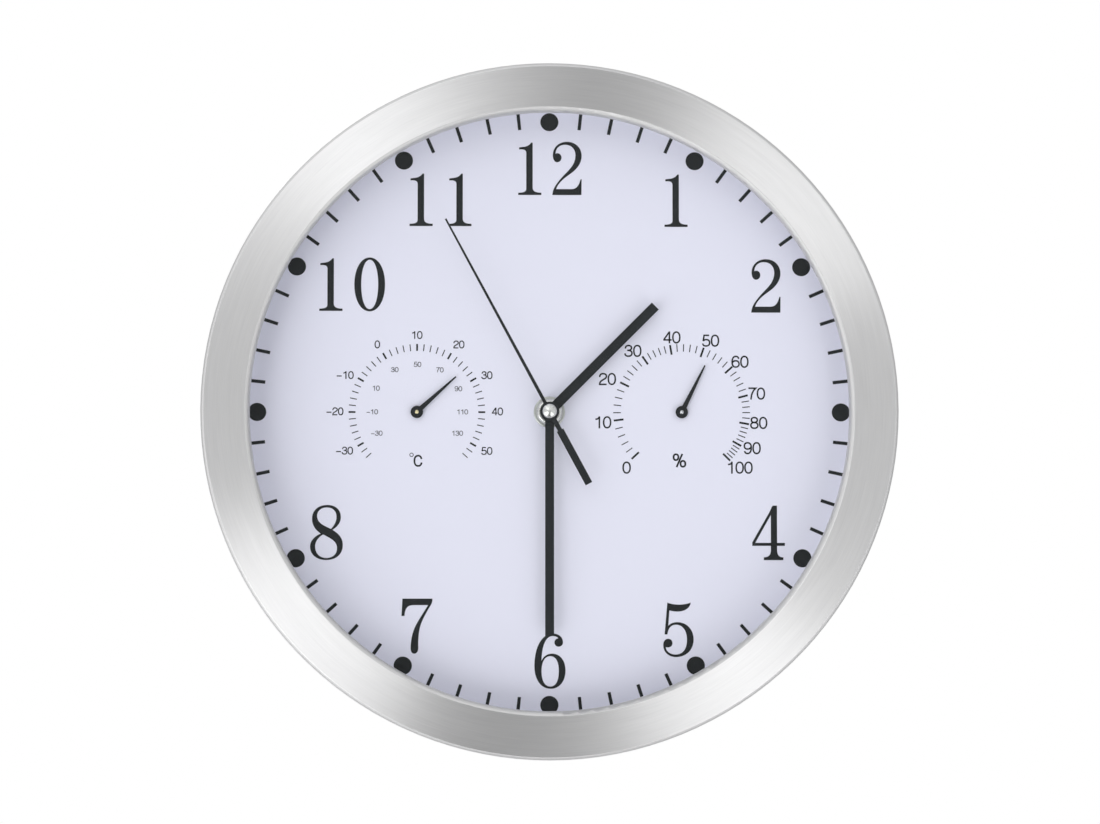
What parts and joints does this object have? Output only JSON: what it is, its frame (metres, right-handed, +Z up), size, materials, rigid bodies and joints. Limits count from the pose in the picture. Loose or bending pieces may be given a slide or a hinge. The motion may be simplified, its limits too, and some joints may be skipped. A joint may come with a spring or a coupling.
{
  "type": "thermometer hygrometer clock",
  "caption": "Round wall clock with a broad brushed aluminium rim, plain hands, a thermometer and a hygrometer in its dial, and a battery movement behind it.",
  "frame": {"origin": "centre of the case: on the hands' axis, half way between the wall and the front of the rim", "axes": "+Z up the dial, face towards -Y, +X to the viewer's right; the wall is at +Y"},
  "size_m": [0.3, 0.04, 0.3],
  "materials": {
    "bezel": "circular brushed, clear anodised",
    "lens": "clear polished",
    "dial": "matt pale lavender white print",
    "white_plastic": "moulded, satin",
    "black_plastic": "moulded, fine grain",
    "screw_steel": "zinc plated",
    "movement_plastic": "moulded, satin",
    "gasket": "soft black",
    "bright_plate": "nickel plated",
    "gear_plastic": "natural",
    "magnet": "ground",
    "brass": "turned",
    "knob_plastic": "moulded",
    "iron": "stamped",
    "copper": "enamelled wire",
    "board": "solder resist",
    "resin": "black resin",
    "spring_steel": "nickel plated",
    "cell": "plain sleeve",
    "black_hands": "black lacquer",
    "bimetal": "rolled strip"
  },
  "bodies": {
    "case": {"bezel": "bezel", "glass_lens": "lens", "dial": "dial", "inner_ring": "white_plastic", "rear_cover": "black_plastic", "cover_screws": "screw_steel", "movement_rear_case": "movement_plastic", "movement_front_case": "movement_plastic", "dial_gasket": "gasket", "dial_washer": "bright_plate", "bush_nut": "bright_plate", "stator": "iron", "coil_bobbin": "gear_plastic", "coil_winding": "copper", "circuit_board": "board", "quartz_can": "bright_plate", "timing_chip": "resin", "battery_contact_plus": "spring_steel", "battery_contact_minus": "spring_steel", "thermometer_cup": "black_plastic", "thermometer_coil": "bimetal", "hygrometer_cup": "black_plastic", "hygrometer_coil": "bimetal"},
    "seconds": {"seconds_wheel": "gear_plastic", "second_hand": "black_hands", "second_hand_cap": "bright_plate"},
    "rotor": {"rotor_pinion": "gear_plastic", "rotor_magnet": "magnet"},
    "intermediate": {"intermediate_wheel": "gear_plastic"},
    "third": {"third_wheel": "gear_plastic"},
    "centre_drive": {"centre_wheel": "gear_plastic"},
    "minutes": {"minute_cannon": "brass", "minute_hand": "black_hands"},
    "motion_work": {"motion_wheel": "gear_plastic"},
    "hours": {"hour_wheel": "gear_plastic", "hour_hand": "black_hands"},
    "knob": {"setting_knob": "knob_plastic"},
    "thermometer_needle": {"thermometer_spindle": "brass", "thermometer_pointer": "black_hands"},
    "hygrometer_needle": {"hygrometer_spindle": "spring_steel", "hygrometer_pointer": "black_hands"},
    "battery": {"aa_cell": "cell"}
  },
  "joints": [
    {"name": "second_hand_turn", "type": "hinge", "parent": "case", "child": "seconds", "pos_m": [0, 0, 0], "axis": [0, 1, 0], "continuous": true},
    {"name": "rotor_turn", "type": "hinge", "parent": "case", "child": "rotor", "pos_m": [-0.01149, 0, 0.0101], "axis": [0, 1, 0], "continuous": true},
    {"name": "intermediate_turn", "type": "hinge", "parent": "case", "child": "intermediate", "pos_m": [-0.00849, 0, 0.0049], "axis": [0, 1, 0], "continuous": true},
    {"name": "third_wheel_turn", "type": "hinge", "parent": "case", "child": "third", "pos_m": [0.00831, 0, 0.0048], "axis": [0, 1, 0], "continuous": true},
    {"name": "centre_wheel_turn", "type": "hinge", "parent": "case", "child": "centre_drive", "pos_m": [0, 0, 0], "axis": [0, 1, 0], "continuous": true},
    {"name": "minute_hand_turn", "type": "hinge", "parent": "case", "child": "minutes", "pos_m": [0, 0, 0], "axis": [0, 1, 0], "continuous": true},
    {"name": "motion_wheel_turn", "type": "hinge", "parent": "case", "child": "motion_work", "pos_m": [0, 0, 0.008], "axis": [0, 1, 0], "continuous": true},
    {"name": "hour_hand_turn", "type": "hinge", "parent": "case", "child": "hours", "pos_m": [0, 0, 0], "axis": [0, 1, 0], "continuous": true},
    {"name": "setting_knob_turn", "type": "hinge", "parent": "case", "child": "knob", "pos_m": [0.0045, 0, 0.01579], "axis": [0, 1, 0], "continuous": true},
    {"name": "thermometer_turn", "type": "hinge", "parent": "case", "child": "thermometer_needle", "pos_m": [-0.0576, 0, 0], "axis": [0, 1, 0], "range_deg": [-167.8, 72.2]},
    {"name": "hygrometer_turn", "type": "hinge", "parent": "case", "child": "hygrometer_needle", "pos_m": [0.0576, 0, 0], "axis": [0, 1, 0], "range_deg": [-159.4, 108.6]},
    {"name": "battery_slide", "type": "slide", "parent": "case", "child": "battery", "axis": [0, 1, 0], "range_m": [0, 0.03]}
  ],
  "couplings": [
    {"joint": "intermediate_turn", "follows": "second_hand_turn", "ratio": -6},
    {"joint": "rotor_turn", "follows": "second_hand_turn", "ratio": 30},
    {"joint": "third_wheel_turn", "follows": "second_hand_turn", "ratio": -0.13333},
    {"joint": "centre_wheel_turn", "follows": "second_hand_turn", "ratio": 0.016667},
    {"joint": "motion_wheel_turn", "follows": "minute_hand_turn", "ratio": -0.33333},
    {"joint": "hour_hand_turn", "follows": "minute_hand_turn", "ratio": 0.083333},
    {"joint": "setting_knob_turn", "follows": "minute_hand_turn", "ratio": 0.66667}
  ]
}
